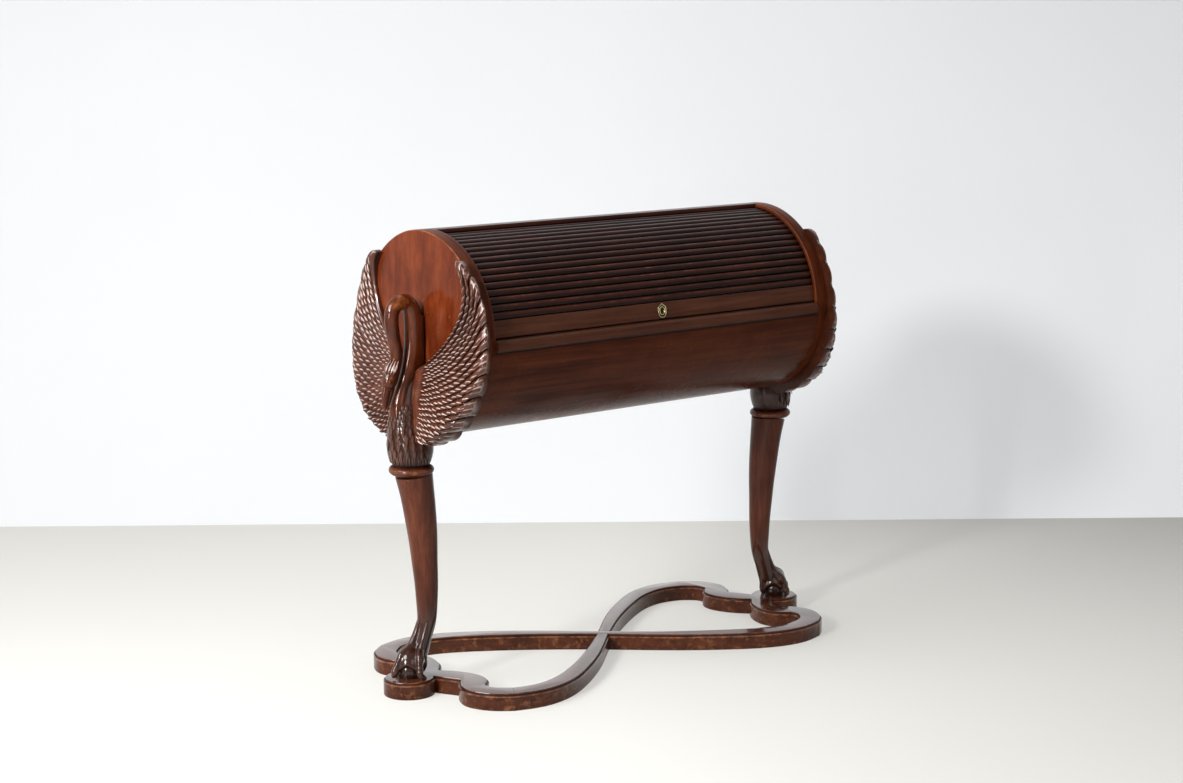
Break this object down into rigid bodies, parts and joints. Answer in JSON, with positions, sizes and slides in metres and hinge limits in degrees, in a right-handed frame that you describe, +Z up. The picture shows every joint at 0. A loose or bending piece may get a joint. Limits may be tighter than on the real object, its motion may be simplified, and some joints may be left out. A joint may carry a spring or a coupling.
{
  "type": "cylinder desk",
  "caption": "Drum-shaped writing desk with a roll-back tambour, writing slide and small drawers, on swan-carved claw-foot legs and a looped base.",
  "frame": {"origin": "on the floor under the middle of the drum", "axes": "+X along the drum, -Y to the front where the tambour opens, +Z up"},
  "size_m": [1.2, 0.5388, 1],
  "materials": {
    "mahogany": "french polished, worn at the edges",
    "tambour_wood": "dark polish",
    "carcass_wood": "plain, unpolished",
    "interior_wood": "satin polish",
    "brass": "aged",
    "iron": "dark iron",
    "leather": "worn green writing leather",
    "canvas": "unbleached canvas"
  },
  "bodies": {
    "carcass": {"back_staves": "carcass_wood", "back_veneer": "mahogany", "base_dowels": "carcass_wood", "base_end_left": "mahogany", "base_end_right": "mahogany", "base_rail_a": "mahogany", "base_rail_b": "mahogany", "belly_staves": "carcass_wood", "belly_veneer": "mahogany", "case_back": "interior_wood", "case_floor": "interior_wood", "case_shelves": "interior_wood", "case_top": "interior_wood", "case_uprights": "interior_wood", "end_panel_left": "mahogany", "end_panel_right": "mahogany", "floor_board": "carcass_wood", "leg_bolts": "iron", "leg_collar_left": "mahogany", "leg_collar_right": "mahogany", "leg_left": "mahogany", "leg_right": "mahogany", "rim_band_left": "mahogany", "rim_band_right": "mahogany", "slide_runners": "carcass_wood", "stop_blocks": "carcass_wood", "swan_breast_left": "mahogany", "swan_breast_right": "mahogany", "swan_neck_left": "mahogany", "swan_neck_right": "mahogany", "top_rail": "tambour_wood", "track_rail_left": "carcass_wood", "track_rail_right": "carcass_wood", "wing_back_left": "mahogany", "wing_back_right": "mahogany", "wing_front_left": "mahogany", "wing_front_right": "mahogany", "wing_screws": "iron"},
    "tambour": {"tambour_slats": "tambour_wood", "tambour_canvas": "canvas", "lock_rail": "tambour_wood", "lock_case": "iron", "escutcheon": "brass"},
    "lock_bolt": {"lock_bolt": "iron"},
    "writing_slide": {"slide_board": "mahogany", "slide_nosing": "tambour_wood", "slide_leather": "leather", "stop_batten": "carcass_wood", "strike_plate": "brass"},
    "drawer_lower_left": {"drawer_lower_left": "interior_wood", "drawer_lower_left_knob": "brass"},
    "drawer_lower_right": {"drawer_lower_right": "interior_wood", "drawer_lower_right_knob": "brass"},
    "drawer_upper_left": {"drawer_upper_left": "interior_wood", "drawer_upper_left_knob": "brass"},
    "drawer_upper_right": {"drawer_upper_right": "interior_wood", "drawer_upper_right_knob": "brass"}
  },
  "joints": [
    {"name": "tambour_roll", "type": "hinge", "parent": "carcass", "child": "tambour", "pos_m": [0, 0, 0.78], "axis": [-1, 0, 0], "range_deg": [0, 74]},
    {"name": "bolt_throw", "type": "slide", "parent": "tambour", "child": "lock_bolt", "axis": [0, -0.1193, -0.9929], "range_m": [0, 0.008]},
    {"name": "writing_slide_pull", "type": "slide", "parent": "carcass", "child": "writing_slide", "axis": [0, -1, 0], "range_m": [0, 0.2]},
    {"name": "drawer_lower_left_pull", "type": "slide", "parent": "carcass", "child": "drawer_lower_left", "axis": [0, -1, 0], "range_m": [0, 0.1]},
    {"name": "drawer_lower_right_pull", "type": "slide", "parent": "carcass", "child": "drawer_lower_right", "axis": [0, -1, 0], "range_m": [0, 0.1]},
    {"name": "drawer_upper_left_pull", "type": "slide", "parent": "carcass", "child": "drawer_upper_left", "axis": [0, -1, 0], "range_m": [0, 0.1]},
    {"name": "drawer_upper_right_pull", "type": "slide", "parent": "carcass", "child": "drawer_upper_right", "axis": [0, -1, 0], "range_m": [0, 0.1]}
  ]
}
